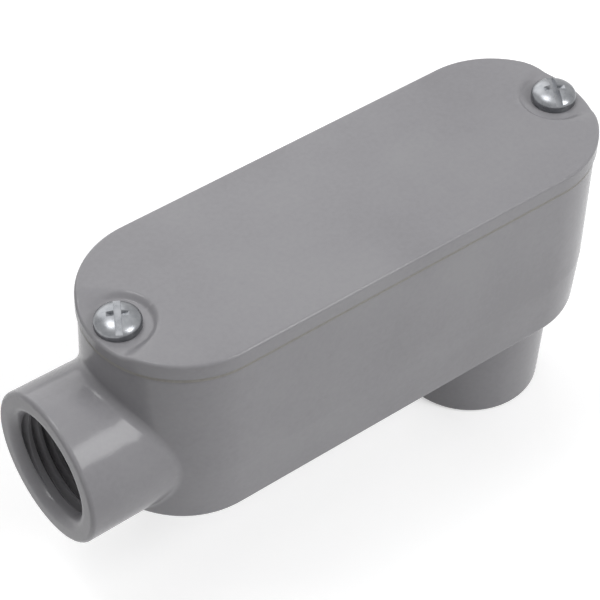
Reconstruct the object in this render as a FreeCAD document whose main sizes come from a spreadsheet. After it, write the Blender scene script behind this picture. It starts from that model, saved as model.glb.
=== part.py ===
import FreeCAD, Part
import math
import os
import Sketcher
from FreeCAD import Vector

# A conduit body for half-inch rigid conduit, with one threaded hub on its end and one on its back.
# The origin is the centre of the back hub's mouth. X runs along the body, away from the end hub,
# and Z runs up through the back hub to the cover. Lengths are in millimetres, angles in degrees.

DRIVING_DIMENSIONS = [
    ("cover_length", 100.1),
    ("cover_width", 34.0),
    ("cover_thickness", 3.0),
    ("cover_edge_round", 0.55),
    ("gasket_thickness", 0.8),
    ("gasket_inset", 0.15),
    ("gasket_band", 2.9),
    ("gasket_land", 0.6),
    ("housing_height", 34.1),
    ("parting_height", 11.3),
    ("parting_inset", 0.2),
    ("upper_draft", 0.35),
    ("lower_draft", 2.9),
    ("core_draft", 0.75),
    ("wall_thickness", 2.6),
    ("floor_round", 2.0),
    ("back_edge_round", 1.0),
    ("end_hub_reach", 10.2),
    ("end_hub_height", 12.5),
    ("end_hub_mouth_radius", 13.6),
    ("end_hub_root_radius", 13.4),
    ("end_hub_root_round", 1.8),
    ("back_hub_offset", 31.3),
    ("back_hub_reach", 20.5),
    ("back_hub_mouth_radius", 13.15),
    ("back_hub_root_radius", 13.75),
    ("back_hub_root_bevel", 0.7),
    ("mouth_round", 0.8),
    ("bore_radius", 9.3),
    ("bore_depth", 15.0),
    ("throat_radius", 7.9),
    ("throat_step", 1.0),
    ("bushing_radius", 11.7),
    ("bushing_length", 19.0),
    ("bushing_lip", 1.5),
    ("floor_lip", 3.0),
    ("boss_radius", 3.8),
    ("screw_spacing", 90.6),
    ("screw_hole_depth", 9.6),
    ("screw_radius", 2.08),
    ("screw_clearance", 0.07),
    ("screw_length", 11.0),
    ("screw_point", 0.45),
    ("head_radius", 3.9),
    ("head_height", 2.75),
    ("head_side", 1.15),
    ("shoulder_radius", 3.6),
    ("shoulder_height", 1.8),
    ("dome_radius", 2.9),
    ("dome_height", 2.3),
    ("crown_radius", 1.6),
    ("crown_height", 2.65),
    ("slot_width", 1.2),
    ("slot_depth", 1.25),
    ("cross_span", 4.4),
    ("cross_depth", 1.9),
    ("recess_depth", 0.9),
    ("recess_radius", 6.2),
    ("recess_flare", 26.0),
    ("recess_floor_radius", 5.55),
    ("recess_floor_flare", 8.0),
    ("cover_hole_gap", 0.2),
    ("end_screw_turn", 59.0),
    ("far_screw_turn", 64.0),
    ("ramp_start", 7.8),
    ("ramp_height", 1.2),
    ("spare_length", 8.0),
]

END_SIDE = "end"
FAR_SIDE = "far"

# How near a point has to be to a surface to count as on it
TOUCH = 0.02

# Feature settings that take words, where others given as text are expressions
WORD_SETTINGS = ("Type", "DepthType", "DrillPoint")


def cell(name):
    """The expression that reads one driving dimension."""
    return "Dimensions." + name


# Heights and distances that follow from the driving dimensions, as expressions
BODY_MIDDLE = "-" + cell("back_hub_offset")
HALF_WIDTH = cell("cover_width") + " / 2"
HALF_STRAIGHT = "(" + cell("cover_length") + " - " + cell("cover_width") + ") / 2"
BACK_FACE = cell("back_hub_reach")
PARTING = "(" + BACK_FACE + " + " + cell("parting_height") + ")"
RIM = "(" + BACK_FACE + " + " + cell("housing_height") + ")"
COVER_UNDERSIDE = "(" + RIM + " + " + cell("gasket_thickness") + ")"
COVER_TOP = "(" + COVER_UNDERSIDE + " + " + cell("cover_thickness") + ")"
SCREW_SEAT = "(" + COVER_TOP + " - " + cell("recess_depth") + ")"
HUB_AXIS = "(" + BACK_FACE + " + " + cell("end_hub_height") + ")"
HUB_MOUTH = "(" + BODY_MIDDLE + " - " + cell("cover_length") + " / 2 - " + cell("end_hub_reach") + ")"
CAVITY_RADIUS = "(" + HALF_WIDTH + " - " + cell("parting_inset") + " - (" + cell("housing_height") + " - " + \
    cell("parting_height") + ") * tan(" + cell("upper_draft") + " * 1deg) - " + cell("wall_thickness") + ")"
CAVITY_DEPTH = "(" + cell("housing_height") + " - " + cell("wall_thickness") + ")"
HOLE_RADIUS = "(" + cell("screw_radius") + " + " + cell("screw_clearance") + ")"
HALF_WALL = cell("wall_thickness") + " / 2"
RECESS_MOUTH = "-" + cell("cover_length") + " / 2 - " + cell("cover_thickness")


def make_sheet(doc):
    sheet = doc.addObject("Spreadsheet::Sheet", "Dimensions")
    for row, (name, value) in enumerate(DRIVING_DIMENSIONS, start=1):
        sheet.set("A" + str(row), name)
        sheet.set("B" + str(row), str(value))
        sheet.setAlias("B" + str(row), name)
    doc.recompute()
    return sheet


def make_body(doc, label):
    body = doc.addObject("PartDesign::Body", label)
    body.Label = label
    return body


def sketch_on(body, role, name, right="0", up="0", out="0"):
    """A sketch on one of the body's origin planes, moved right, up and out along its own axes."""
    plane = [o for o in body.Origin.OriginFeatures if o.Role == role][0]
    sketch = body.newObject("Sketcher::SketchObject", name)
    sketch.AttachmentSupport = (plane, [""])
    sketch.MapMode = "FlatFace"
    for axis, expression in (("x", right), ("y", up), ("z", out)):
        sketch.setExpression("AttachmentOffset.Base." + axis, expression)
    return sketch


def bind(sketch, constraint, name, expression):
    """Adds a sized constraint, named, and bound to an expression."""
    index = sketch.addConstraint(constraint)
    sketch.renameConstraint(index, name)
    sketch.setExpression("Constraints." + name, expression)


def value_of(item, expression):
    """The number that an expression gives as one of the document's objects reads it."""
    result = item.evalExpression(expression)
    return float(getattr(result, "Value", result))


def draw_outline(sketch, corners):
    """A closed outline of straight edges. Each corner is a pair of expressions from the sketch's origin."""
    at = [Vector(value_of(sketch, x), value_of(sketch, y), 0) for x, y in corners]
    count = len(at)
    for i in range(count):
        sketch.addGeometry(Part.LineSegment(at[i], at[(i + 1) % count]), False)
    for i in range(count):
        sketch.addConstraint(Sketcher.Constraint("Coincident", i, 2, (i + 1) % count, 1))
    for i, (x, y) in enumerate(corners):
        bind(sketch, Sketcher.Constraint("DistanceX", -1, 1, i, 1, at[i].x), "x" + str(i), x)
        bind(sketch, Sketcher.Constraint("DistanceY", -1, 1, i, 1, at[i].y), "y" + str(i), y)


def draw_long_oval(sketch, half_straight, radius):
    """Two half circles joined by straight sides, centred on the sketch's origin."""
    c = value_of(sketch, half_straight)
    r = value_of(sketch, radius)
    quarter = math.pi / 2
    up = Vector(0, 0, 1)
    sketch.addGeometry(Part.ArcOfCircle(Part.Circle(Vector(c, 0, 0), up, r), -quarter, quarter), False)
    sketch.addGeometry(Part.LineSegment(Vector(c, r, 0), Vector(-c, r, 0)), False)
    sketch.addGeometry(Part.ArcOfCircle(Part.Circle(Vector(-c, 0, 0), up, r), quarter, 3 * quarter), False)
    sketch.addGeometry(Part.LineSegment(Vector(-c, -r, 0), Vector(c, -r, 0)), False)
    for i in range(4):
        sketch.addConstraint(Sketcher.Constraint("Tangent", i, 2, (i + 1) % 4, 1))
    sketch.addConstraint(Sketcher.Constraint("Equal", 0, 2))
    sketch.addConstraint(Sketcher.Constraint("Symmetric", 0, 3, 2, 3, -1, 1))
    sketch.addConstraint(Sketcher.Constraint("PointOnObject", 0, 3, -1))
    bind(sketch, Sketcher.Constraint("Radius", 0, r), "radius", radius)
    bind(sketch, Sketcher.Constraint("DistanceX", 2, 3, 0, 3, 2 * c), "spacing", "2 * " + half_straight)


def draw_circle(sketch, name, x, radius):
    """A circle on the sketch's horizontal axis."""
    cx = value_of(sketch, x)
    r = value_of(sketch, radius)
    index = sketch.addGeometry(Part.Circle(Vector(cx, 0, 0), Vector(0, 0, 1), r), False)
    sketch.addConstraint(Sketcher.Constraint("PointOnObject", index, 3, -1))
    bind(sketch, Sketcher.Constraint("Radius", index, r), name + "_radius", radius)
    bind(sketch, Sketcher.Constraint("DistanceX", -1, 1, index, 3, cx), name + "_x", x)


def add_feature(doc, body, kind, name, **settings):
    """A solid feature of the body. A setting that is text is an expression. Others are set as they are."""
    feature = body.newObject("PartDesign::" + kind, name)
    for setting, value in settings.items():
        if isinstance(value, str) and setting not in WORD_SETTINGS:
            feature.setExpression(setting, value)
        else:
            setattr(feature, setting, value)
    doc.recompute()
    return feature


def add_round(doc, body, name, radius, on_edge):
    """Rounds every edge of the body as it stands whose points all pass the test."""
    base = body.Tip
    picked = []
    for i, edge in enumerate(base.Shape.Edges, start=1):
        if not edge.Degenerated and all(on_edge(p) for p in edge.discretize(9)):
            picked.append("Edge" + str(i))
    if not picked:
        raise RuntimeError(name + " found no edge to round")
    return add_feature(doc, body, "Fillet", name, Base=(base, picked), Radius=radius)


def near(a, b, within=TOUCH):
    return abs(a - b) < within


def side_place(side):
    """The X of a cover screw, from the middle of the body."""
    sign = "-" if side == END_SIDE else ""
    return sign + cell("screw_spacing") + " / 2"


def add_housing_walls(doc, body):
    """The drafted outer form, from the parting line up to the rim and down past the back face."""
    outline = sketch_on(body, "XY_Plane", "parting_outline", right=BODY_MIDDLE, out=PARTING)
    draw_long_oval(outline, HALF_STRAIGHT, HALF_WIDTH + " - " + cell("parting_inset"))
    doc.recompute()
    add_feature(doc, body, "Pad", "upper_wall", Profile=outline,
                Length=RIM + " - " + PARTING, TaperAngle="-" + cell("upper_draft"))
    lower = sketch_on(body, "XY_Plane", "lower_outline", right=BODY_MIDDLE, out=PARTING)
    draw_long_oval(lower, HALF_STRAIGHT, HALF_WIDTH + " - " + cell("parting_inset"))
    doc.recompute()
    add_feature(doc, body, "Pad", "lower_wall", Profile=lower, Reversed=True,
                Length=cell("parting_height") + " + " + cell("spare_length"),
                TaperAngle="-" + cell("lower_draft"))


def add_end_hub(doc, body, read):
    """The end hub and the round where it meets the wall all the way about."""
    profile = sketch_on(body, "XZ_Plane", "end_hub_profile", right=HUB_MOUTH, up=HUB_AXIS)
    inner_end = cell("end_hub_reach") + " + " + cell("spare_length")
    draw_outline(profile, [
        ("0", "0"),
        ("0", cell("end_hub_mouth_radius")),
        (inner_end, cell("end_hub_root_radius")),
        (inner_end, "0"),
    ])
    doc.recompute()
    add_feature(doc, body, "Revolution", "end_hub", Profile=profile,
                ReferenceAxis=(profile, ["H_Axis"]), Angle=360)
    axis_z = read(HUB_AXIS)
    mouth_x = read(HUB_MOUTH)
    half_reach = read(cell("end_hub_reach")) / 2
    root_radius = read(cell("end_hub_root_radius"))
    draft = read(cell("end_hub_mouth_radius")) - root_radius

    def meets_wall(p):
        return near(math.hypot(p.y, p.z - axis_z), root_radius, draft) and p.x > mouth_x + half_reach

    add_round(doc, body, "end_hub_root", cell("end_hub_root_round"), meets_wall)


def add_back_face(doc, body, read):
    """Cuts the walls off at the back face. The end hub's underside stands proud of it and ramps up to it."""
    cut = sketch_on(body, "XZ_Plane", "back_cut", right=HUB_MOUTH, up=BACK_FACE)
    far_end = cell("cover_length") + " + 2 * " + cell("end_hub_reach")
    below = "-" + cell("spare_length") + " - " + cell("ramp_height")
    draw_outline(cut, [
        (cell("ramp_start"), "-" + cell("ramp_height")),
        (cell("ramp_start") + " + " + cell("ramp_height"), "0"),
        (far_end, "0"),
        (far_end, below),
        (cell("ramp_start"), below),
    ])
    doc.recompute()
    add_feature(doc, body, "Pocket", "back_face", Profile=cut, Type="Length", Midplane=True,
                Length="1.5 * " + cell("cover_width"))
    back_z = read(BACK_FACE)
    arc_start = read(BODY_MIDDLE) - read(HALF_STRAIGHT)

    def bounds_back(p):
        return near(p.z, back_z) and p.x > arc_start - TOUCH

    add_round(doc, body, "back_edge", cell("back_edge_round"), bounds_back)


def add_back_hub(doc, body):
    """The back hub, with a bevelled root where it meets the back face."""
    profile = sketch_on(body, "XZ_Plane", "back_hub_profile")
    inner_end = BACK_FACE + " + " + HALF_WALL
    root_edge = cell("back_hub_root_radius") + " + " + cell("back_hub_root_bevel")
    draw_outline(profile, [
        ("0", "0"),
        (cell("back_hub_mouth_radius"), "0"),
        (cell("back_hub_root_radius"), BACK_FACE + " - " + cell("back_hub_root_bevel")),
        (root_edge, BACK_FACE),
        (root_edge, inner_end),
        ("0", inner_end),
    ])
    doc.recompute()
    add_feature(doc, body, "Revolution", "back_hub", Profile=profile,
                ReferenceAxis=(profile, ["V_Axis"]), Angle=360)


def add_cavity(doc, body, read):
    """The wiring chamber, drafted for its core, with a rounded floor."""
    outline = sketch_on(body, "XY_Plane", "cavity_outline", right=BODY_MIDDLE, out=RIM)
    draw_long_oval(outline, HALF_STRAIGHT, CAVITY_RADIUS)
    doc.recompute()
    add_feature(doc, body, "Pocket", "cavity", Profile=outline, Type="Length", Length=CAVITY_DEPTH,
                TaperAngle="-" + cell("core_draft"))
    floor_z = read(RIM) - read(CAVITY_DEPTH)

    add_round(doc, body, "floor_corner", cell("floor_round"), lambda p: near(p.z, floor_z))


def add_inner_bushing(doc, body):
    """The sleeve that carries the end hub's bore a little way into the chamber."""
    profile = sketch_on(body, "XZ_Plane", "bushing_profile", right=HUB_MOUTH, up=HUB_AXIS)
    outer_end = cell("end_hub_reach") + " + " + HALF_WALL
    draw_outline(profile, [
        (outer_end, "0"),
        (outer_end, cell("bushing_radius")),
        (cell("bushing_length"), cell("bushing_radius")),
        (cell("bushing_length"), "0"),
    ])
    doc.recompute()
    add_feature(doc, body, "Revolution", "inner_bushing", Profile=profile,
                ReferenceAxis=(profile, ["H_Axis"]), Angle=360)


def add_screw_bosses(doc, body):
    """A boss on each end wall for a cover screw: one down to the bushing and one down to the floor."""
    for side, depth in ((END_SIDE, RIM + " - " + HUB_AXIS), (FAR_SIDE, CAVITY_DEPTH + " + " + HALF_WALL)):
        outline = sketch_on(body, "XY_Plane", side + "_boss_outline", right=BODY_MIDDLE, out=RIM)
        draw_circle(outline, "boss", side_place(side), cell("boss_radius"))
        doc.recompute()
        add_feature(doc, body, "Pad", side + "_boss", Profile=outline, Length=depth, Reversed=True)


def add_bore(doc, body, name, right, up, axis, length, lip):
    """A bore for the thread, a step down to the throat, and a flared lip where the throat opens inside.
    The lip bends out in two even steps, and the cut runs on past it."""
    profile = sketch_on(body, "XZ_Plane", name + "_bore_profile", right=right, up=up)
    throat = cell("throat_radius")
    bend = " * (1 - cos(45deg))"
    along = [
        ("0", "0"),
        ("0", cell("bore_radius")),
        (cell("bore_depth"), cell("bore_radius")),
        (cell("bore_depth") + " + " + cell("throat_step"), throat),
        (length + " - " + lip, throat),
        (length + " - " + lip + bend, throat + " + " + lip + bend),
        (length, throat + " + " + lip),
        (length + " + " + cell("throat_step"), throat + " + " + lip),
        (length + " + " + cell("throat_step"), "0"),
    ]
    corners = along if axis == "H_Axis" else [(y, x) for x, y in along]
    draw_outline(profile, corners)
    doc.recompute()
    add_feature(doc, body, "Groove", name + "_bore", Profile=profile,
                ReferenceAxis=(profile, [axis]), Angle=360)


def add_bores(doc, body):
    add_bore(doc, body, "end_hub", HUB_MOUTH, HUB_AXIS, "H_Axis", cell("bushing_length"), cell("bushing_lip"))
    floor = BACK_FACE + " + " + cell("wall_thickness")
    add_bore(doc, body, "back_hub", "0", "0", "V_Axis", floor, cell("floor_lip"))


def round_hub_mouths(doc, body, read):
    axis_z = read(HUB_AXIS)
    mouth_x = read(HUB_MOUTH)
    end_radius = read(cell("end_hub_mouth_radius"))
    back_radius = read(cell("back_hub_mouth_radius"))

    def outer_edge(p):
        on_end_hub = near(p.x, mouth_x) and near(math.hypot(p.y, p.z - axis_z), end_radius)
        return on_end_hub or near(p.z, 0) and near(math.hypot(p.x, p.y), back_radius)

    add_round(doc, body, "hub_mouths", cell("mouth_round"), outer_edge)


def drill_screw_holes(doc, body):
    """The two screw holes, drilled down from the rim."""
    centres = sketch_on(body, "XY_Plane", "screw_hole_centres", right=BODY_MIDDLE, out=RIM)
    for side in (END_SIDE, FAR_SIDE):
        draw_circle(centres, side, side_place(side), HOLE_RADIUS)
    doc.recompute()
    add_feature(doc, body, "Hole", "screw_holes", Profile=centres, DepthType="Dimension",
                Depth=cell("screw_hole_depth"), Diameter="2 * " + HOLE_RADIUS, DrillPoint="Angled")


def make_housing(doc, read):
    """The cast housing: walls, floor, both hubs, bushing and screw bosses in one piece."""
    body = make_body(doc, "housing")
    add_housing_walls(doc, body)
    add_end_hub(doc, body, read)
    add_back_face(doc, body, read)
    add_back_hub(doc, body)
    add_cavity(doc, body, read)
    add_inner_bushing(doc, body)
    add_screw_bosses(doc, body)
    add_bores(doc, body)
    round_hub_mouths(doc, body, read)
    drill_screw_holes(doc, body)
    return body


def draw_recess(sketch, radius, flare_angle):
    """The recess's outline at one height: round about the end screw, and flared open at the cover's end."""
    r = value_of(sketch, radius)
    cx = value_of(sketch, side_place(END_SIDE))
    flare = math.radians(value_of(sketch, flare_angle))
    out_x = value_of(sketch, RECESS_MOUTH)
    touch = Vector(cx + r * math.sin(flare), r * math.cos(flare), 0)
    out_y = touch.y + (touch.x - out_x) * math.tan(flare)
    circle = Part.Circle(Vector(cx, 0, 0), Vector(0, 0, 1), r)
    start = -math.pi / 2 + flare
    sketch.addGeometry(Part.ArcOfCircle(circle, start, -start), False)
    sketch.addGeometry(Part.LineSegment(touch, Vector(out_x, out_y, 0)), False)
    sketch.addGeometry(Part.LineSegment(Vector(out_x, out_y, 0), Vector(out_x, -out_y, 0)), False)
    sketch.addGeometry(Part.LineSegment(Vector(out_x, -out_y, 0), Vector(touch.x, -touch.y, 0)), False)
    sketch.addConstraint(Sketcher.Constraint("Tangent", 0, 2, 1, 1))
    sketch.addConstraint(Sketcher.Constraint("Coincident", 1, 2, 2, 1))
    sketch.addConstraint(Sketcher.Constraint("Coincident", 2, 2, 3, 1))
    sketch.addConstraint(Sketcher.Constraint("Tangent", 3, 2, 0, 1))
    sketch.addConstraint(Sketcher.Constraint("Symmetric", 2, 1, 2, 2, -1))
    sketch.addConstraint(Sketcher.Constraint("PointOnObject", 0, 3, -1))
    bind(sketch, Sketcher.Constraint("Radius", 0, r), "radius", radius)
    bind(sketch, Sketcher.Constraint("DistanceX", -1, 1, 0, 3, cx), "centre", side_place(END_SIDE))
    bind(sketch, Sketcher.Constraint("DistanceX", -1, 1, 2, 1, out_x), "mouth", RECESS_MOUTH)
    bind(sketch, Sketcher.Constraint("Angle", -1, 1, 3, 1, flare), "flare", flare_angle + " * 1deg")


def make_cover(doc, read):
    """The flat cast cover. Each screw head has a recess whose wall grows gentler towards the cover's end."""
    body = make_body(doc, "cover")
    outline = sketch_on(body, "XY_Plane", "cover_outline", right=BODY_MIDDLE, out=COVER_UNDERSIDE)
    draw_long_oval(outline, HALF_STRAIGHT, HALF_WIDTH)
    doc.recompute()
    add_feature(doc, body, "Pad", "plate", Profile=outline, Length=cell("cover_thickness"))
    mouth = sketch_on(body, "XY_Plane", "recess_top", right=BODY_MIDDLE, out=COVER_TOP)
    draw_recess(mouth, cell("recess_radius"), cell("recess_flare"))
    floor = sketch_on(body, "XY_Plane", "recess_floor", right=BODY_MIDDLE, out=SCREW_SEAT)
    draw_recess(floor, cell("recess_floor_radius"), cell("recess_floor_flare"))
    doc.recompute()
    cut = add_feature(doc, body, "SubtractiveLoft", "end_recess", Profile=mouth, Sections=[floor], Ruled=True)
    far_cut = body.newObject("PartDesign::Mirrored", "far_recess")
    far_cut.Originals = [cut]
    far_cut.MirrorPlane = (mouth, ["V_Axis"])
    body.Tip = far_cut
    doc.recompute()
    top_z = read(COVER_TOP)
    seat_z = read(SCREW_SEAT)
    middle = read(BODY_MIDDLE)
    half_straight = read(HALF_STRAIGHT)
    half_width = read(HALF_WIDTH)

    def outer_top_edge(p):
        past_straight = max(abs(p.x - middle) - half_straight, 0)
        return near(math.hypot(past_straight, p.y), half_width) and seat_z - TOUCH < p.z < top_z + TOUCH

    add_round(doc, body, "top_edge", cell("cover_edge_round"), outer_top_edge)
    holes = sketch_on(body, "XY_Plane", "cover_hole_outline", right=BODY_MIDDLE, out=SCREW_SEAT)
    for side in (END_SIDE, FAR_SIDE):
        draw_circle(holes, side, side_place(side), cell("screw_radius") + " + " + cell("cover_hole_gap"))
    doc.recompute()
    add_feature(doc, body, "Pocket", "cover_holes", Profile=holes, Type="ThroughAll")
    return body


def make_gasket(doc):
    """The flat gasket between rim and cover, open over the chamber and solid about the screws."""
    body = make_body(doc, "cover_gasket")
    outline = sketch_on(body, "XY_Plane", "gasket_outline", right=BODY_MIDDLE, out=RIM)
    draw_long_oval(outline, HALF_STRAIGHT, HALF_WIDTH + " - " + cell("gasket_inset"))
    doc.recompute()
    add_feature(doc, body, "Pad", "sheet", Profile=outline, Length=cell("gasket_thickness"))
    opening = sketch_on(body, "XY_Plane", "gasket_opening", right=BODY_MIDDLE, out=COVER_UNDERSIDE)
    opening_radius = "(" + HALF_WIDTH + " - " + cell("gasket_inset") + " - " + cell("gasket_band") + ")"
    opening_end = cell("screw_spacing") + " / 2 - " + cell("boss_radius") + " - " + cell("gasket_land")
    opening_straight = "(" + opening_end + " - " + opening_radius + ")"
    draw_long_oval(opening, opening_straight, opening_radius)
    doc.recompute()
    add_feature(doc, body, "Pocket", "opening", Profile=opening, Type="ThroughAll")
    holes = sketch_on(body, "XY_Plane", "gasket_hole_outline", right=BODY_MIDDLE, out=COVER_UNDERSIDE)
    for side in (END_SIDE, FAR_SIDE):
        draw_circle(holes, side, side_place(side), cell("screw_radius") + " + " + cell("cover_hole_gap"))
    doc.recompute()
    add_feature(doc, body, "Pocket", "gasket_holes", Profile=holes, Type="ThroughAll")
    return body


def draw_cross(sketch, span, width):
    """A cross of two equal arms, centred on the sketch's origin."""
    reach = "(" + span + ") / 2"
    half = "(" + width + ") / 2"
    corner = [(reach, half), (half, half), (half, reach)]
    quadrant_signs = [(1, 1), (-1, 1), (-1, -1), (1, -1)]
    outline = []
    for turn, (sx, sy) in enumerate(quadrant_signs):
        points = corner if turn % 2 == 0 else corner[::-1]
        outline += [(("" if sx > 0 else "-") + x, ("" if sy > 0 else "-") + y) for x, y in points]
    draw_outline(sketch, outline)


def make_screw(doc, side, turn):
    """A cover screw with a domed head, a slot and a cross, made about its own axis with its seat at 0."""
    label = "cover_screw_" + side
    body = make_body(doc, label)
    profile = sketch_on(body, "XZ_Plane", label + "_profile")
    draw_outline(profile, [
        ("0", "-" + cell("screw_length")),
        (cell("screw_radius") + " - " + cell("screw_point"), "-" + cell("screw_length")),
        (cell("screw_radius"), cell("screw_point") + " - " + cell("screw_length")),
        (cell("screw_radius"), "0"),
        (cell("head_radius"), "0"),
        (cell("head_radius"), cell("head_side")),
        (cell("shoulder_radius"), cell("shoulder_height")),
        (cell("dome_radius"), cell("dome_height")),
        (cell("crown_radius"), cell("crown_height")),
        ("0", cell("head_height")),
    ])
    doc.recompute()
    add_feature(doc, body, "Revolution", label + "_blank", Profile=profile,
                ReferenceAxis=(profile, ["V_Axis"]), Angle=360)
    slot = sketch_on(body, "XY_Plane", label + "_slot_outline", out=cell("head_height"))
    past_head = "2 * " + cell("head_radius")
    half_slot = cell("slot_width") + " / 2"
    draw_outline(slot, [
        ("-" + past_head, "-" + half_slot),
        (past_head, "-" + half_slot),
        (past_head, half_slot),
        ("-" + past_head, half_slot),
    ])
    doc.recompute()
    add_feature(doc, body, "Pocket", label + "_slot", Profile=slot, Type="Length", Length=cell("slot_depth"))
    top = sketch_on(body, "XY_Plane", label + "_cross_top", out=cell("head_height"))
    draw_cross(top, cell("cross_span"), cell("slot_width"))
    foot_height = cell("head_height") + " - " + cell("cross_depth")
    foot = sketch_on(body, "XY_Plane", label + "_cross_foot", out=foot_height)
    draw_cross(foot, cell("cross_span") + " / 2", cell("slot_width") + " / 2")
    doc.recompute()
    add_feature(doc, body, "SubtractiveLoft", label + "_cross", Profile=top, Sections=[foot], Ruled=True)
    body.setExpression("Placement.Base.x", BODY_MIDDLE + " + " + side_place(side))
    body.setExpression("Placement.Base.z", SCREW_SEAT)
    body.setExpression("Placement.Rotation.Angle", turn)
    doc.recompute()
    return body


def check_document(doc):
    """Stops if any object failed, or if a body's solid is missing or unsound."""
    for item in doc.Objects:
        if "Invalid" in item.State or "Error" in item.State:
            raise RuntimeError(item.Name + " failed: " + str(item.State))


def export_body(body):
    shape = body.Shape
    if shape.isNull() or not shape.isValid() or len(shape.Solids) != 1:
        raise RuntimeError(body.Label + " isn't one sound solid")
    shape.exportStep(os.path.join("parts", body.Label + ".step"))
    print(body.Label, round(shape.Volume, 1), shape.BoundBox)


def main():
    doc = FreeCAD.newDocument("conduit_body")
    sheet = make_sheet(doc)

    def read(expression):
        return value_of(sheet, expression)

    bodies = [
        make_housing(doc, read),
        make_gasket(doc),
        make_cover(doc, read),
        make_screw(doc, END_SIDE, cell("end_screw_turn")),
        make_screw(doc, FAR_SIDE, cell("far_screw_turn")),
    ]
    doc.recompute()
    check_document(doc)
    os.makedirs("parts", exist_ok=True)
    for body in bodies:
        export_body(body)


main()
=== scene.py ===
import math

import bmesh
import bpy
from mathutils import Euler, Matrix, Vector
from mathutils.geometry import delaunay_2d_cdt


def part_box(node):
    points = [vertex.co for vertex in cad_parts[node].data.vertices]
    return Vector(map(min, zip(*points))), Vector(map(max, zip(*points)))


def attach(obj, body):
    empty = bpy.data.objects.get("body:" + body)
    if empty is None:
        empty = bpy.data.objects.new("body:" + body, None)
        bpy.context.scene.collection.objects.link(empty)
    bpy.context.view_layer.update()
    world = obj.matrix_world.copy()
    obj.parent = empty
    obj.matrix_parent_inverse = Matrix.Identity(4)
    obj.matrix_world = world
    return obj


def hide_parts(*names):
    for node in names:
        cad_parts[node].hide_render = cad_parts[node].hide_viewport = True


# A coated cast conduit body on a pale floor. Sizes are in metres unless a note says otherwise.
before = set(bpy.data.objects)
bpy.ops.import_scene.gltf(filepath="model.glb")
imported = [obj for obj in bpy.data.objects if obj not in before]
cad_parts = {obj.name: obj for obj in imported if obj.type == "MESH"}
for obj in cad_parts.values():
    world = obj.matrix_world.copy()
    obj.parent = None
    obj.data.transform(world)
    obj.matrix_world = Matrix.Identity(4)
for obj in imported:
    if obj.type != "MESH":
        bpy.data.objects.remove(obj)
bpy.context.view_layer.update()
print("packed frame loaded")

mm = 0.001


# Shader helpers

def newMaterial(name):
    material = bpy.data.materials.new(name)
    material.use_nodes = True
    material.node_tree.nodes.clear()
    return material


def addNode(material, kind, x, y, **settings):
    node = material.node_tree.nodes.new(kind)
    node.location = (x, y)
    for name, value in settings.items():
        setattr(node, name, value)
    return node


def join(material, fromSocket, toSocket):
    material.node_tree.links.new(fromSocket, toSocket)


def noiseOn(material, coordinates, size, x, y, detail=3.0, roughness=0.55):
    # size is the width of one blotch
    node = addNode(material, "ShaderNodeTexNoise", x, y)
    node.inputs["Scale"].default_value = 1.0 / size
    node.inputs["Detail"].default_value = detail
    node.inputs["Roughness"].default_value = roughness
    join(material, coordinates, node.inputs["Vector"])
    return node


def rampOf(material, factor, places, colours, x, y):
    node = addNode(material, "ShaderNodeValToRGB", x, y)
    ramp = node.color_ramp
    while len(ramp.elements) < len(places):
        ramp.elements.new(0.5)
    for element, place, colour in zip(ramp.elements, places, colours):
        element.position = place
        element.color = (*colour, 1.0)
    join(material, factor, node.inputs["Fac"])
    return node


def rangeOf(material, value, fromRange, toRange, x, y):
    node = addNode(material, "ShaderNodeMapRange", x, y)
    node.inputs["From Min"].default_value, node.inputs["From Max"].default_value = fromRange
    node.inputs["To Min"].default_value, node.inputs["To Max"].default_value = toRange
    join(material, value, node.inputs["Value"])
    return node


def bumpOf(material, height, distance, x, y):
    node = addNode(material, "ShaderNodeBump", x, y)
    node.inputs["Distance"].default_value = distance
    join(material, height, node.inputs["Height"])
    return node


# Grey coating on the castings

coatLook = {
    "colour": (0.305, 0.300, 0.316),
    "darker": (0.286, 0.281, 0.296),
    "lighter": (0.320, 0.316, 0.330),
    "colourStops": (0.38, 0.5, 0.62),  # noise levels of darker, colour and lighter
    "cloudSize": 26 * mm,
    "speckSize": 0.9 * mm,
    "speckShare": 0.25,
    "peelSize": 1.3 * mm,
    "grainSize": 0.32 * mm,
    "peelHeight": 0.004 * mm,
    "grainHeight": 0.0012 * mm,
    "roughness": (0.14, 0.20),
    "roughnessStops": (0.35, 0.65),  # noise levels of the smoothest and the roughest
    "specular": 0.26,
    "edgeSpecular": 0.03,  # where the surface turns away from the eye
    "edgeStops": (0.5, 0.95),  # the change between them: 0 is square on and 1 is edge on
}


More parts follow.
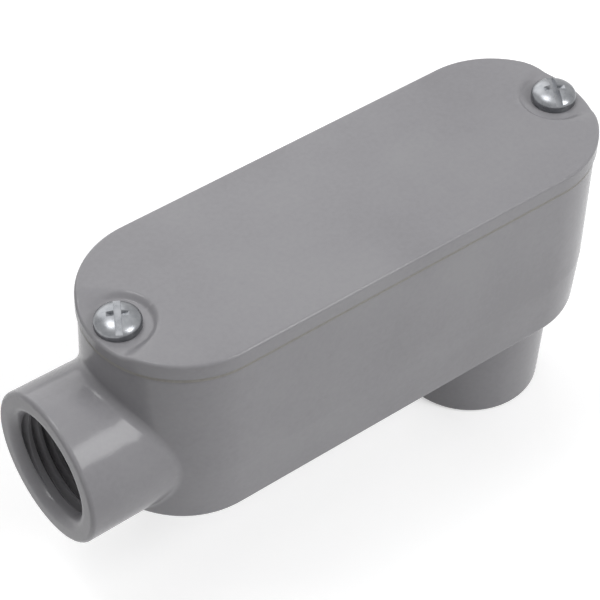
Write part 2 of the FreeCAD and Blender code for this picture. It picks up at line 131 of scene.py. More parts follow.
def makeCoat(name, look):
    material = newMaterial(name)
    place = addNode(material, "ShaderNodeTexCoord", -1500, 0).outputs["Object"]
    clouds = noiseOn(material, place, look["cloudSize"], -1250, 300, detail=4.0)
    specks = noiseOn(material, place, look["speckSize"], -1250, 60, detail=2.0)
    both = addNode(material, "ShaderNodeMix", -1030, 220, data_type="FLOAT")
    both.inputs["Factor"].default_value = look["speckShare"]
    join(material, clouds.outputs["Fac"], both.inputs["A"])
    join(material, specks.outputs["Fac"], both.inputs["B"])
    shades = [look["darker"], look["colour"], look["lighter"]]
    colours = rampOf(material, both.outputs["Result"], look["colourStops"], shades, -820, 260)
    rough = rangeOf(material, both.outputs["Result"], look["roughnessStops"], look["roughness"], -820, 20)
    peel = noiseOn(material, place, look["peelSize"], -1250, -240, detail=1.0)
    grain = noiseOn(material, place, look["grainSize"], -1250, -480, detail=2.0)
    peelBump = bumpOf(material, peel.outputs["Fac"], look["peelHeight"], -820, -260)
    grainBump = bumpOf(material, grain.outputs["Fac"], look["grainHeight"], -600, -300)
    join(material, peelBump.outputs["Normal"], grainBump.inputs["Normal"])
    turned = addNode(material, "ShaderNodeLayerWeight", -820, -60)
    specularRange = (look["specular"], look["edgeSpecular"])
    gloss = rangeOf(material, turned.outputs["Facing"], look["edgeStops"], specularRange, -560, -60)
    shader = addNode(material, "ShaderNodeBsdfPrincipled", -300, 100)
    join(material, gloss.outputs["Result"], shader.inputs["Specular IOR Level"])
    join(material, colours.outputs["Color"], shader.inputs["Base Color"])
    join(material, rough.outputs["Result"], shader.inputs["Roughness"])
    join(material, grainBump.outputs["Normal"], shader.inputs["Normal"])
    out = addNode(material, "ShaderNodeOutputMaterial", 0, 100)
    join(material, shader.outputs["BSDF"], out.inputs["Surface"])
    return material


greyCoat = makeCoat("greyCoat", coatLook)


# Fibre gasket

gasketLook = {
    "darker": (0.282, 0.271, 0.254),
    "lighter": (0.334, 0.321, 0.302),
    "fibreStops": (0.35, 0.65),  # noise levels of darker and lighter
    "fibreSize": 0.7 * mm,
    "fibreHeight": 0.02 * mm,
    "roughness": 0.85,
}


def makeGasketSheet(look):
    material = newMaterial("gasketSheet")
    place = addNode(material, "ShaderNodeTexCoord", -900, 0).outputs["Object"]
    fibres = noiseOn(material, place, look["fibreSize"], -680, 60, detail=6.0, roughness=0.7)
    shades = [look["darker"], look["lighter"]]
    colours = rampOf(material, fibres.outputs["Fac"], look["fibreStops"], shades, -460, 160)
    bump = bumpOf(material, fibres.outputs["Fac"], look["fibreHeight"], -460, -120)
    shader = addNode(material, "ShaderNodeBsdfPrincipled", -200, 60)
    shader.inputs["Roughness"].default_value = look["roughness"]
    join(material, colours.outputs["Color"], shader.inputs["Base Color"])
    join(material, bump.outputs["Normal"], shader.inputs["Normal"])
    out = addNode(material, "ShaderNodeOutputMaterial", 80, 60)
    join(material, shader.outputs["BSDF"], out.inputs["Surface"])
    return material


gasketSheet = makeGasketSheet(gasketLook)


# Dull plated steel on the screws

platingLook = {
    "darker": (0.205, 0.212, 0.225),
    "lighter": (0.275, 0.282, 0.295),
    "stainStops": (0.35, 0.65),  # noise levels of darker and lighter
    "stainSize": 1.6 * mm,
    "scratchSize": 0.25 * mm,
    "scratchHeight": 0.002 * mm,
    "roughness": (0.25, 0.31),
}


def makePlating(look):
    material = newMaterial("platedScrew")
    place = addNode(material, "ShaderNodeTexCoord", -1100, 0).outputs["Object"]
    stains = noiseOn(material, place, look["stainSize"], -880, 160, detail=3.0)
    shades = [look["darker"], look["lighter"]]
    colours = rampOf(material, stains.outputs["Fac"], look["stainStops"], shades, -620, 240)
    rough = rangeOf(material, stains.outputs["Fac"], (0, 1), look["roughness"], -620, -20)
    scratches = noiseOn(material, place, look["scratchSize"], -880, -220, detail=4.0)
    bump = bumpOf(material, scratches.outputs["Fac"], look["scratchHeight"], -620, -280)
    shader = addNode(material, "ShaderNodeBsdfPrincipled", -300, 60)
    shader.inputs["Metallic"].default_value = 1.0
    join(material, colours.outputs["Color"], shader.inputs["Base Color"])
    join(material, rough.outputs["Result"], shader.inputs["Roughness"])
    join(material, bump.outputs["Normal"], shader.inputs["Normal"])
    out = addNode(material, "ShaderNodeOutputMaterial", 0, 60)
    join(material, shader.outputs["BSDF"], out.inputs["Surface"])
    return material


platedScrew = makePlating(platingLook)
print("materials made")


# Mesh helpers

mergeDistance = 0.001 * mm  # corners of a copied solid that are nearer than this become one
flatFaceWeight = 80  # how far the largest faces lead the shading, where 50 is even


def wholeCopy(nodeName, name):
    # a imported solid's mesh is loose triangles, so the copy is joined up along its edges
    mesh = bpy.data.meshes.new(name)
    joined = bmesh.new()
    joined.from_mesh(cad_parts[nodeName].data)
    bmesh.ops.remove_doubles(joined, verts=joined.verts, dist=mergeDistance)
    joined.to_mesh(mesh)
    joined.free()
    for layer in [a.name for a in mesh.attributes if a.name == "custom_normal"]:
        mesh.attributes.remove(mesh.attributes[layer])
    return linked(name, mesh)


def linked(name, data):
    piece = bpy.data.objects.new(name, data)
    bpy.context.scene.collection.objects.link(piece)
    return piece


def closedPiece(name, shape):
    # the shape as an object, with its faces turned outwards
    bmesh.ops.recalc_face_normals(shape, faces=shape.faces)
    mesh = bpy.data.meshes.new(name)
    shape.to_mesh(mesh)
    shape.free()
    return linked(name, mesh)


def lathe(name, profile, steps):
    # profile runs from the lower end of the axis to the upper, as radius and height
    turned = bmesh.new()
    rings = []
    for radius, height in profile:
        if radius == 0:  # one point on the axis
            rings.append([turned.verts.new((0, 0, height))])
            continue
        angles = [2 * math.pi * step / steps for step in range(steps)]
        rings.append([turned.verts.new((radius * math.cos(a), radius * math.sin(a), height)) for a in angles])
    for lower, upper in zip(rings, rings[1:]):
        for step in range(steps):
            following = (step + 1) % steps
            corners = [lower[step % len(lower)], lower[following % len(lower)],
                       upper[following % len(upper)], upper[step % len(upper)]]
            turned.faces.new(list(dict.fromkeys(corners)))
    return closedPiece(name, turned)


def frozen(piece, name):
    # the shape with its modifiers, as one plain mesh
    bpy.context.view_layer.update()
    evaluated = piece.evaluated_get(bpy.context.evaluated_depsgraph_get())
    mesh = bpy.data.meshes.new_from_object(evaluated)
    mesh.name = name
    return linked(name, mesh)


def unfold(mesh):
    # a cut can leave two triangles back to back, which enclose nothing
    whole = bmesh.new()
    whole.from_mesh(mesh)
    bmesh.ops.triangulate(whole, faces=whole.faces)
    sameCorners = {}
    for face in whole.faces:
        sameCorners.setdefault(frozenset(v.index for v in face.verts), []).append(face)
    folds = [face for faces in sameCorners.values() if len(faces) > 1 for face in faces]
    bmesh.ops.delete(whole, geom=folds, context="FACES_ONLY")
    bmesh.ops.delete(whole, geom=[e for e in whole.edges if not e.link_faces], context="EDGES")
    bmesh.ops.delete(whole, geom=[v for v in whole.verts if not v.link_faces], context="VERTS")
    whole.to_mesh(mesh)
    whole.free()


def discard(piece):
    mesh = piece.data
    bpy.data.objects.remove(piece)
    if mesh.users == 0:
        bpy.data.meshes.remove(mesh)


def smoothFaces(piece, sharpFrom):
    mesh = piece.data
    mesh.polygons.foreach_set("use_smooth", [True] * len(mesh.polygons))
    mesh.set_sharp_from_angle(angle=math.radians(sharpFrom))
    weighted = piece.modifiers.new("flatFacesFirst", "WEIGHTED_NORMAL")
    weighted.keep_sharp = True
    weighted.weight = flatFaceWeight


# Thread cutter: a trapezium swept along a conical helix

cutterTree = bpy.data.node_groups.new("threadCutter", "GeometryNodeTree")
cutterTree.interface.new_socket("Geometry", in_out="OUTPUT", socket_type="NodeSocketGeometry")
cutterSockets = {}
for inputName, inputKind, startValue in [
    ("Turns", "NodeSocketFloat", 8.0),
    ("Pitch", "NodeSocketFloat", 1.814 * mm),
    ("Start Radius", "NodeSocketFloat", 10.6 * mm),
    ("End Radius", "NodeSocketFloat", 10.2 * mm),
    ("Depth", "NodeSocketFloat", -1.42 * mm),
    ("Root Width", "NodeSocketFloat", 0.1 * mm),
    ("Open Width", "NodeSocketFloat", 1.72 * mm),
    ("Steps Per Turn", "NodeSocketInt", 72),
    ("Run In Turns", "NodeSocketFloat", 0.25),
    ("Material", "NodeSocketMaterial", None),
]:
    socket = cutterTree.interface.new_socket(inputName, in_out="INPUT", socket_type=inputKind)
    if startValue is not None:
        socket.default_value = startValue
    cutterSockets[inputName] = socket.identifier


def buildCutterTree(tree):
    def put(kind, x, y, **settings):
        node = tree.nodes.new(kind)
        node.location = (x, y)
        for name, value in settings.items():
            setattr(node, name, value)
        return node

    def wire(fromSocket, toSocket):
        tree.links.new(fromSocket, toSocket)

    given = put("NodeGroupInput", -1100, 0).outputs
    height = put("ShaderNodeMath", -850, 200, operation="MULTIPLY")
    wire(given["Turns"], height.inputs[0])
    wire(given["Pitch"], height.inputs[1])
    helix = put("GeometryNodeCurveSpiral", -600, 260)
    helix.inputs["Reverse"].default_value = True  # a right-hand thread
    wire(given["Steps Per Turn"], helix.inputs["Resolution"])
    wire(given["Turns"], helix.inputs["Rotations"])
    wire(given["Start Radius"], helix.inputs["Start Radius"])
    wire(given["End Radius"], helix.inputs["End Radius"])
    wire(height.outputs[0], helix.inputs["Height"])

    # the groove deepens from nothing over the first part of a turn
    along = put("GeometryNodeSplineParameter", -1100, 560)
    turned = put("ShaderNodeMath", -850, 560, operation="MULTIPLY")
    wire(along.outputs["Factor"], turned.inputs[0])
    wire(given["Turns"], turned.inputs[1])
    lacking = put("ShaderNodeMapRange", -640, 560)
    lacking.inputs["To Max"].default_value = 0
    wire(turned.outputs[0], lacking.inputs["Value"])
    wire(given["Run In Turns"], lacking.inputs["From Max"])
    wire(given["Depth"], lacking.inputs["To Min"])
    place = put("GeometryNodeInputPosition", -1100, 800)
    level = put("ShaderNodeVectorMath", -850, 800, operation="MULTIPLY")
    level.inputs[1].default_value = (1, 1, 0)
    wire(place.outputs["Position"], level.inputs[0])
    outward = put("ShaderNodeVectorMath", -640, 800, operation="NORMALIZE")
    wire(level.outputs["Vector"], outward.inputs[0])
    held = put("ShaderNodeVectorMath", -430, 700, operation="SCALE")
    wire(outward.outputs["Vector"], held.inputs[0])
    wire(lacking.outputs["Result"], held.inputs["Scale"])
    moved = put("GeometryNodeSetPosition", -430, 400)
    wire(helix.outputs["Curve"], moved.inputs["Geometry"])
    wire(held.outputs["Vector"], moved.inputs["Offset"])
    upright = put("GeometryNodeSetCurveNormal", -260, 260, mode="Z_UP")
    wire(moved.outputs["Geometry"], upright.inputs["Curve"])

    corners = []
    for row, (widthName, atDepth) in enumerate([("Root Width", False), ("Open Width", True)]):
        for side in (1, -1):
            y = -60 - 340 * row - 160 * (side < 0)
            half = put("ShaderNodeMath", -850, y, operation="MULTIPLY")
            half.inputs[1].default_value = 0.5 * side
            wire(given[widthName], half.inputs[0])
            corner = put("ShaderNodeCombineXYZ", -620, y)
            if atDepth:
                wire(given["Depth"], corner.inputs["X"])
            wire(half.outputs[0], corner.inputs["Y"])
            corners.append(corner.outputs["Vector"])
    profile = put("GeometryNodeCurvePrimitiveQuadrilateral", -380, -120, mode="POINTS")
    order = [corners[0], corners[1], corners[3], corners[2]]
    for i, corner in enumerate(order, start=1):
        wire(corner, profile.inputs["Point " + str(i)])
    sweep = put("GeometryNodeCurveToMesh", -140, 160)
    sweep.inputs["Fill Caps"].default_value = True
    wire(upright.outputs["Curve"], sweep.inputs["Curve"])
    wire(profile.outputs["Curve"], sweep.inputs["Profile Curve"])
    real = put("GeometryNodeRealizeInstances", 80, 160)
    wire(sweep.outputs["Mesh"], real.inputs["Geometry"])
    painted = put("GeometryNodeSetMaterial", 280, 160)
    wire(real.outputs["Geometry"], painted.inputs["Geometry"])
    wire(given["Material"], painted.inputs["Material"])
    result = put("NodeGroupOutput", 480, 160)
    wire(painted.outputs["Geometry"], result.inputs["Geometry"])


buildCutterTree(cutterTree)
cutterMergeDistance = 0.0005 * mm  # corners of a cutter that are nearer than this become one


def threadCutter(name, sizes, material, placement):
    seed = linked(name + "Seed", bpy.data.meshes.new(name + "Seed"))
    modifier = seed.modifiers.new("thread", "NODES")
    modifier.node_group = cutterTree
    for inputName, value in sizes.items():
        modifier[cutterSockets[inputName]] = value
    modifier[cutterSockets["Material"]] = material
    cutter = frozen(seed, name)
    discard(seed)
    cutter.data.transform(placement)
    repaired = bmesh.new()
    repaired.from_mesh(cutter.data)
    bmesh.ops.remove_doubles(repaired, verts=repaired.verts, dist=cutterMergeDistance)
    bmesh.ops.recalc_face_normals(repaired, faces=repaired.faces)
    repaired.to_mesh(cutter.data)
    repaired.free()
    return cutter


def cutAway(piece, cutter):
    cut = piece.modifiers.new("cut " + cutter.name, "BOOLEAN")
    cut.operation = "DIFFERENCE"
    cut.solver = "EXACT"
    cut.object = cutter


# Housing with its two threaded hubs

housingShape = {
    "hubHeight": 33.0 * mm,  # the end hub's axis above the back hub's mouth
    "partingHeight": 31.8 * mm,  # the walls lean in both ways from here
    "partingReach": 0.01 * mm,  # edges this near to it stay sharp
    "sharpFrom": 40,  # degrees
}
hubThread = {
    "Turns": 6.55,
    "Pitch": 1.814 * mm,
    "Start Radius": 10.55 * mm,  # taper of 1 in 16 on the width
    "End Radius": 10.18 * mm,
    "Depth": -1.46 * mm,  # towards the axis
    "Root Width": 0.1 * mm,
    "Open Width": 1.6 * mm,
    "Steps Per Turn": 72,
    "Run In Turns": 0.22,
}
hubMouth = {
    "flareWidth": 1.8 * mm,  # how far the opening's rounded lip reaches out over the hub's face
    "flareDepth": 2.0 * mm,
    "boreRadius": 9.3 * mm,
    "boreGap": 0.01 * mm,  # keeps the cutter clear of the bore's wall
    "outside": 0.5 * mm,  # how far the cutter stands out of the mouth
    "inside": 0.4 * mm,  # how far it goes on past the flare
    "rimReach": 0.3 * mm,  # how far it is wider than the flare
    "flareSteps": 10,
    "aroundSteps": 144,
}
hubPlaces = {
    "threadStart": 1.82 * mm,  # depth of the first groove inside the mouth
    "endHubTurn": 5.0,  # degrees
    "backHubTurn": 120.0,
}


def flareCutter(name, sizes, placement):
    # rounds the mouth of the bore, and reaches a little outside and inside it
    bore, width, depth = sizes["boreRadius"], sizes["flareWidth"], sizes["flareDepth"]
    rim = bore + width + sizes["rimReach"]
    profile = [(0, -sizes["outside"]), (rim, -sizes["outside"]), (rim, 0)]
    for step in range(1, sizes["flareSteps"] + 1):
        angle = math.pi / 2 * step / sizes["flareSteps"]
        profile.append((bore + width * (1 - math.sin(angle)), depth * (1 - math.cos(angle))))
    end = depth + sizes["inside"]
    profile += [(bore - sizes["boreGap"], end), (0, end)]
    cutter = lathe(name, profile, sizes["aroundSteps"])
    cutter.data.transform(placement)
    return cutter


def makeHousing(shape):
    low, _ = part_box("housing")
    sideways = Matrix.Rotation(math.radians(90), 4, "Y")
    mouths = {
        "endHub": Matrix.Translation((low.x, 0, shape["hubHeight"])) @ sideways,
        "backHub": Matrix.Translation((0, 0, low.z)),
    }
    blank = wholeCopy("housing", "housingBlank")
    blank.data.materials.clear()
    blank.data.materials.append(greyCoat)
    start = Matrix.Translation((0, 0, hubPlaces["threadStart"]))
    cutters = []
    for name, mouth in mouths.items():
        turn = Matrix.Rotation(math.radians(hubPlaces[name + "Turn"]), 4, "Z")
        cutters.append(flareCutter(name + "Flare", hubMouth, mouth))
        cutters.append(threadCutter(name + "Cutter", hubThread, greyCoat, mouth @ start @ turn))
    for cutter in cutters:
        cutAway(blank, cutter)
    piece = frozen(blank, "castHousing")
    for helper in [blank] + cutters:
        discard(helper)
    smoothFaces(piece, shape["sharpFrom"])
    corners = piece.data.vertices
    for edge in piece.data.edges:
        offsets = [abs(corners[i].co.z - shape["partingHeight"]) for i in edge.vertices]
        if max(offsets) < shape["partingReach"]:
            edge.use_edge_sharp = True
    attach(piece, "housing")
    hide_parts("housing")
    return piece


castHousing = makeHousing(housingShape)
print("housing threaded:", len(castHousing.data.polygons), "faces")


# Cover, with its recesses and edges rounded off as a coated casting's are

coverShape = {
    "edgeRound": 0.55 * mm,
    "roundSteps": 8,
    "ringSteps": 160,  # along each rounded end
    "recessDepth": 0.9 * mm,
    "footRadius": 5.55 * mm,  # where the recess's wall meets its floor
    "footFlare": 8.0,  # degrees
    "lipRadius": 6.2 * mm,  # where the wall meets the top
    "lipFlare": 26.0,
    "footSoftness": 0.5,  # shares of the wall's height that are rounded off
    "lipSoftness": 0.85,
    "wallSteps": 16,
    "wallMargin": 0.2,  # the net's lines go on past the soft parts by this share
    "wallReach": (-1.0, 2.5),  # shares of the wall's height between which a point's own is sought
    "wallHalvings": 24,
    "pointSpacing": 0.3 * mm,
    "straightPoints": 59,  # on each straight part of a line
    "rimGap": 0.05 * mm,  # points nearer to the cover's outline are left out
    "flatRing": 1.4,  # one more ring of points, in edge rounds from the outline
    "holeRadius": 2.28 * mm,
    "holeSteps": 48,
    "netMerge": 1e-5,  # millimetres
    "sharpFrom": 40,  # degrees
}


def blend(start, end, share):
    return start + (end - start) * share


def softStep(share, foot, lip):
    # 0 on the floor, 1 on the top, and round where the wall meets either
    if share <= -foot:
        return 0.0
    if share < foot:
        return (share + foot) ** 2 / (4 * foot)
    if share < 1 - lip:
        return share
    if share < 1 + lip:
        return 1 - (1 + lip - share) ** 2 / (4 * lip)
    return 1.0


def wallLine(shape, share):
    # radius about the screw and flare of the recess's outline at one share of its height
    radius = blend(shape["footRadius"], shape["lipRadius"], share)
    return radius, math.radians(blend(shape["footFlare"], shape["lipFlare"], share))


def wallShare(shape, outward, across):
    # the share of the wall's height at a point, measured from the screw towards the cover's end and across it
    low, high = shape["wallReach"]
    for _ in range(shape["wallHalvings"]):
        share = (low + high) / 2
        radius, flare = wallLine(shape, share)
        if outward * math.cos(flare) + across * math.sin(flare) >= 0:
            past = across * math.cos(flare) - outward * math.sin(flare) - radius
        else:
            past = math.hypot(outward, across) - radius
        low, high = (share, high) if past > 0 else (low, share)
    return low


def makeCover(shape):
    low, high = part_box("cover")
    middle = (low.x + high.x) / 2
    halfWidth = (high.y - low.y) / 2
    halfStraight = (high.x - low.x) / 2 - halfWidth
    edge = shape["edgeRound"]
    screws = []
    for nodeName, side in [("cover_screw_end", -1), ("cover_screw_far", 1)]:
        screwLow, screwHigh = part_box(nodeName)
        screws.append(((screwLow.x + screwHigh.x) / 2, side))

    def inset(x, y):
        return halfWidth - math.hypot(max(abs(x - middle) - halfStraight, 0), y)

    def topHeight(x, y):
        height = high.z
        for screwX, side in screws:
            share = wallShare(shape, side * (x - screwX), abs(y))
            raised = softStep(share, shape["footSoftness"], shape["lipSoftness"])
            height -= shape["recessDepth"] * (1 - raised)
        into = edge - max(min(inset(x, y), edge), 0)
        return height - edge + math.sqrt(max(edge ** 2 - into ** 2, 0))

    def ring(depth):
        points = []
        for side in (1, -1):
            for step in range(shape["ringSteps"] + 1):
                angle = math.pi * (step / shape["ringSteps"] - 0.5)
                x = middle + side * (halfStraight + (halfWidth - depth) * math.cos(angle))
                points.append((x, side * (halfWidth - depth) * math.sin(angle)))
        return points

    points = ring(0.0)
    outline = list(range(len(points)))
    for step in range(1, shape["roundSteps"] + 1):
        points += ring(edge * (1 - math.cos(math.pi / 2 * step / shape["roundSteps"])))
    points += ring(edge * shape["flatRing"])
    lowest = -shape["footSoftness"] - shape["wallMargin"]
    highest = 1 + shape["wallMargin"] + shape["lipSoftness"]
    for screwX, side in screws:
        for level in range(shape["wallSteps"] + 1):
            share = blend(lowest, highest, level / shape["wallSteps"])
            radius, flare = wallLine(shape, share)
            line = []
            turns = max(int(radius * (math.pi / 2 - flare) / shape["pointSpacing"]), 1)
            for step in range(turns + 1):
                angle = blend(math.pi, math.pi / 2 + flare, step / turns)
                line.append((radius * math.cos(angle), radius * math.sin(angle)))
            bendX, bendY = line[-1]
            for step in range(1, shape["straightPoints"] + 1):
                along = step * shape["pointSpacing"]
                line.append((bendX + along * math.cos(flare), bendY + along * math.sin(flare)))
            for outward, across in line:
                for y in {across, -across}:
                    if inset(screwX + side * outward, y) > shape["rimGap"]:
                        points.append((screwX + side * outward, y))
    edges = []
    around, hole = shape["holeSteps"], shape["holeRadius"]
    for screwX, _ in screws:
        first = len(points)
        for step in range(around):
            angle = 2 * math.pi * step / around
            points.append((screwX + hole * math.cos(angle), hole * math.sin(angle)))
            edges.append((first + step, first + (step + 1) % around))
    # the flat net is worked out in millimetres, and only inside the outline
    insideOnly = 1
    net = delaunay_2d_cdt([Vector(p) / mm for p in points], edges, [outline], insideOnly, shape["netMerge"])
    shell = bmesh.new()
    corners = [shell.verts.new((p.x * mm, p.y * mm, topHeight(p.x * mm, p.y * mm))) for p in net[0]]
    for triangle in net[2]:
        centre = sum((corners[i].co for i in triangle), Vector()) / 3
        if all(math.hypot(centre.x - screwX, centre.y) > hole for screwX, _ in screws):
            shell.faces.new([corners[i] for i in triangle])
    bmesh.ops.delete(shell, geom=[v for v in shell.verts if not v.link_faces], context="VERTS")
    rims = [e for e in shell.edges if len(e.link_faces) == 1]
    walls = bmesh.ops.extrude_edge_only(shell, edges=rims)["geom"]
    for corner in [part for part in walls if isinstance(part, bmesh.types.BMVert)]:
        corner.co.z = low.z
    feet = [e for e in walls if isinstance(e, bmesh.types.BMEdge) and all(v.co.z == low.z for v in e.verts)]
    bmesh.ops.triangle_fill(shell, use_beauty=True, edges=feet)
    piece = closedPiece("castCover", shell)
    piece.data.materials.append(greyCoat)
    smoothFaces(piece, shape["sharpFrom"])
    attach(piece, "cover")
    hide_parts("cover")
    return piece


castCover = makeCover(coverShape)
print("cover made:", len(castCover.data.polygons), "faces")

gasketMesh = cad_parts["cover_gasket"].data
gasketMesh.materials.clear()
gasketMesh.materials.append(gasketSheet)


# Cover screws with cut threads

screwThread = {
    "Turns": 12.5,
    "Pitch": 0.794 * mm,
    "Start Radius": 1.58 * mm,
    "End Radius": 1.58 * mm,
    "Depth": 0.62 * mm,  # away from the axis
    "Root Width": 0.08 * mm,
    "Open Width": 0.76 * mm,
    "Steps Per Turn": 36,
    "Run In Turns": 0.5,
}
screwShape = {
    "headSide": 0.95 * mm,  # height of the head's upright edge
    "headHeight": 2.75 * mm,
    "rimRound": 0.18 * mm,
    "rimCorner": 0.3,  # share of the round that its middle point is cut back by
    "domePower": 2.05,  # 2 is an ellipse, and more is fuller
    "domeSteps": 20,
    "shankRadius": 2.08 * mm,
    "point": 0.45 * mm,
    "threadBelow": 1.0 * mm,  # the thread's cutter starts this far under the point
    "slotWidth": 1.2 * mm,
    "slotDepth": 1.25 * mm,
    "crossSpan": 4.4 * mm,
    "crossDepth": 0.6 * mm,
    "cutterAbove": 1.0 * mm,  # how far the slot's cutters stand out of the head
    "aroundSteps": 96,
    "sharpFrom": 32,  # degrees
}
screwTurns = {"endCoverScrew": 59, "farCoverScrew": 64}  # degrees


def prism(name, outlines):
    # a closed solid through outlines of equally many corners, each at its own height
    solid = bmesh.new()
    layers = [[solid.verts.new((x, y, height)) for x, y in outline] for outline, height in outlines]
    for lower, upper in zip(layers, layers[1:]):
        for i in range(len(lower)):
            j = (i + 1) % len(lower)
            solid.faces.new([lower[i], lower[j], upper[j], upper[i]])
    solid.faces.new(layers[0][::-1])
    solid.faces.new(layers[-1])
    return closedPiece(name, solid)


def crossOutline(span, width):
    reach, half = span / 2, width / 2
    corners = []
    for turn in range(4):
        c, s = round(math.cos(turn * math.pi / 2)), round(math.sin(turn * math.pi / 2))
        corners += [(c * x - s * y, s * x + c * y) for x, y in [(reach, -half), (reach, half), (half, half)]]
    return corners


def makeScrew(shape, nodeName, bodyName, name):
    low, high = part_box(nodeName)
    axis = Vector(((low.x + high.x) / 2, (low.y + high.y) / 2, 0))
    headRadius = (high.x - low.x) / 2
    seat = high.z - shape["headHeight"]
    rim = shape["rimRound"]
    corner = shape["rimCorner"] * rim
    profile = [
        (0, low.z),
        (shape["shankRadius"] - shape["point"], low.z),
        (shape["shankRadius"], low.z + shape["point"]),
        (shape["shankRadius"], seat),
        (headRadius - rim, seat),
        (headRadius - corner, seat + corner),
        (headRadius, seat + rim),
    ]
    domeHeight = shape["headHeight"] - shape["headSide"]
    power = 2 / shape["domePower"]
    for step in range(shape["domeSteps"] + 1):
        angle = math.pi / 2 * step / shape["domeSteps"]
        radius = headRadius * math.cos(angle) ** power if step < shape["domeSteps"] else 0
        profile.append((radius, seat + shape["headSide"] + domeHeight * math.sin(angle) ** power))
    blank = lathe(name + "Blank", profile, shape["aroundSteps"])
    blank.data.materials.append(platedScrew)
    across = 2 * headRadius
    half = shape["slotWidth"] / 2
    slotOutline = [(-across, -half), (across, -half), (across, half), (-across, half)]
    above = high.z + shape["cutterAbove"]
    slot = prism(name + "Slot", [(slotOutline, high.z - shape["slotDepth"]), (slotOutline, above)])
    wide = crossOutline(shape["crossSpan"], shape["slotWidth"])
    narrow = crossOutline(shape["crossSpan"] / 2, shape["slotWidth"] / 2)
    cross = prism(name + "Cross", [(narrow, high.z - shape["crossDepth"]), (wide, high.z), (wide, above)])
    start = Matrix.Translation((0, 0, low.z - shape["threadBelow"]))
    thread = threadCutter(name + "Cutter", screwThread, platedScrew, start)
    cutters = [slot, cross, thread]
    for cutter in cutters:
        cutAway(blank, cutter)
    piece = frozen(blank, name)
    for helper in [blank] + cutters:
        discard(helper)
    unfold(piece.data)
    turn = Matrix.Rotation(math.radians(screwTurns[name]), 4, "Z")
    piece.data.transform(Matrix.Translation(axis) @ turn)
    smoothFaces(piece, shape["sharpFrom"])
    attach(piece, bodyName)
    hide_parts(nodeName)
    return piece


endScrew = makeScrew(screwShape, "cover_screw_end", "screw_end", "endCoverScrew")
farScrew = makeScrew(screwShape, "cover_screw_far", "screw_far", "farCoverScrew")
print("screws threaded:", len(endScrew.data.polygons), "and", len(farScrew.data.polygons), "faces")


# Floor, light and camera

stageLook = {
    "floorSize": 6.0,
    "floorShade": 0.78,
    "floorGlow": 0.5,
    "floorDrop": 0.05 * mm,  # below the back hub's mouth
    "skyStrength": 0.19,
    "aim": (-0.03, 0, 0.035),  # where the softboxes point
    "softboxDistance": 1.0,  # from there
}
softboxes = [
    {"name": "sideSoftbox", "direction": (0.344, -0.65, 0.67), "size": (0.38, 0.5), "level": 0.44},
    {"name": "backSoftbox", "direction": (0.2, 0.9, 0.5), "size": (0.8, 0.8), "level": 0.26},
    {"name": "topSoftbox", "direction": (0.08, 0.12, 0.99), "size": (1.3, 1.3), "level": 0.24},
    {"name": "highSoftbox", "direction": (-0.2, 0.25, 0.95), "size": (0.42, 0.34), "level": 0.22},
]


def seenDirectly(owner, x, y):
    # 1 where the camera, a mirror image or a clear surface shows it, and 0 for the light it gives
    path = addNode(owner, "ShaderNodeLightPath", x, y)
    near = addNode(owner, "ShaderNodeMath", x + 180, y, operation="MAXIMUM")
    join(owner, path.outputs["Is Camera Ray"], near.inputs[0])
    join(owner, path.outputs["Is Glossy Ray"], near.inputs[1])
    seen = addNode(owner, "ShaderNodeMath", x + 360, y, operation="MAXIMUM")
    join(owner, near.outputs[0], seen.inputs[0])
    join(owner, path.outputs["Is Transmission Ray"], seen.inputs[1])
    return seen.outputs[0]


def makeFloor(look):
    half = look["floorSize"] / 2
    mesh = bpy.data.meshes.new("paleFloor")
    corners = [(-half, -half, 0), (half, -half, 0), (half, half, 0), (-half, half, 0)]
    mesh.from_pydata(corners, [], [(0, 1, 2, 3)])
    floor = linked("paleFloor", mesh)
    floor.location.z = -look["floorDrop"]
    material = newMaterial("paleFloor")
    shade = addNode(material, "ShaderNodeBsdfDiffuse", -300, 0)
    shade.inputs["Color"].default_value = (look["floorShade"],) * 3 + (1,)
    strength = addNode(material, "ShaderNodeMath", -480, -160, operation="MULTIPLY")
    strength.inputs[1].default_value = look["floorGlow"]
    join(material, seenDirectly(material, -1020, -160), strength.inputs[0])
    glow = addNode(material, "ShaderNodeEmission", -300, -160)
    join(material, strength.outputs[0], glow.inputs["Strength"])
    total = addNode(material, "ShaderNodeAddShader", -80, -60)
    join(material, shade.outputs["BSDF"], total.inputs[0])
    join(material, glow.outputs["Emission"], total.inputs[1])
    out = addNode(material, "ShaderNodeOutputMaterial", 120, -60)
    join(material, total.outputs["Shader"], out.inputs["Surface"])
    mesh.materials.append(material)


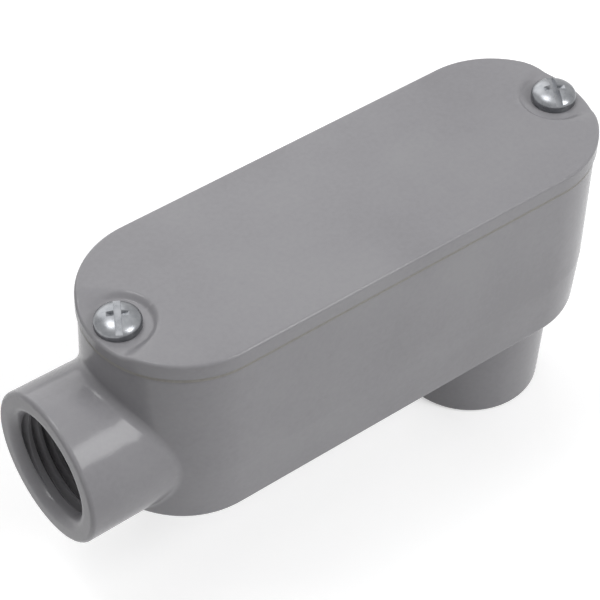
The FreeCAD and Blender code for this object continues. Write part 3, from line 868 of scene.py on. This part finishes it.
def makeSky(look):
    world = bpy.data.worlds.new("softRoom")
    bpy.context.scene.world = world
    world.use_nodes = True
    world.node_tree.nodes.clear()
    light = addNode(world, "ShaderNodeBackground", -300, 0)
    light.inputs["Strength"].default_value = look["skyStrength"]
    white = addNode(world, "ShaderNodeBackground", -300, -160)
    for background in (light, white):
        background.inputs["Color"].default_value = (1, 1, 1, 1)
    mix = addNode(world, "ShaderNodeMixShader", -80, 0)
    join(world, seenDirectly(world, -1020, 200), mix.inputs["Fac"])
    join(world, light.outputs["Background"], mix.inputs[1])
    join(world, white.outputs["Background"], mix.inputs[2])
    out = addNode(world, "ShaderNodeOutputWorld", 120, 0)
    join(world, mix.outputs["Shader"], out.inputs["Surface"])


def makeSoftbox(look, box):
    # level is the brightness it gives a white surface that faces it
    lamp = bpy.data.lights.new(box["name"], "AREA")
    lamp.shape = "RECTANGLE"
    lamp.size, lamp.size_y = box["size"]
    lamp.energy = math.pi ** 2 * box["level"] * look["softboxDistance"] ** 2
    direction = Vector(box["direction"]).normalized()
    holder = linked(box["name"], lamp)
    holder.location = Vector(look["aim"]) + direction * look["softboxDistance"]
    holder.rotation_euler = (-direction).to_track_quat("-Z", "Y").to_euler()


makeFloor(stageLook)
makeSky(stageLook)
for box in softboxes:
    makeSoftbox(stageLook, box)

cameraView = {
    "place": (-0.21745, -0.21788, 0.33442),
    "turn": (43.9004, -1.8173, -37.7038),  # degrees
    "lens": 145.787,  # millimetres
    "sensor": 36,  # millimetres
    "shift": (-0.02409, -0.01459),
    "nearest": 0.01,  # nothing closer to the camera is drawn
}
camera = bpy.data.cameras.new("photoCamera")
camera.sensor_width = cameraView["sensor"]
camera.lens = cameraView["lens"]
camera.shift_x, camera.shift_y = cameraView["shift"]
camera.clip_start = cameraView["nearest"]
cameraHolder = linked("photoCamera", camera)
cameraHolder.location = cameraView["place"]
cameraHolder.rotation_euler = Euler([math.radians(a) for a in cameraView["turn"]], "XYZ")
bpy.context.scene.camera = cameraHolder
bpy.context.scene.view_settings.view_transform = "Standard"
print("stage, light and camera set")
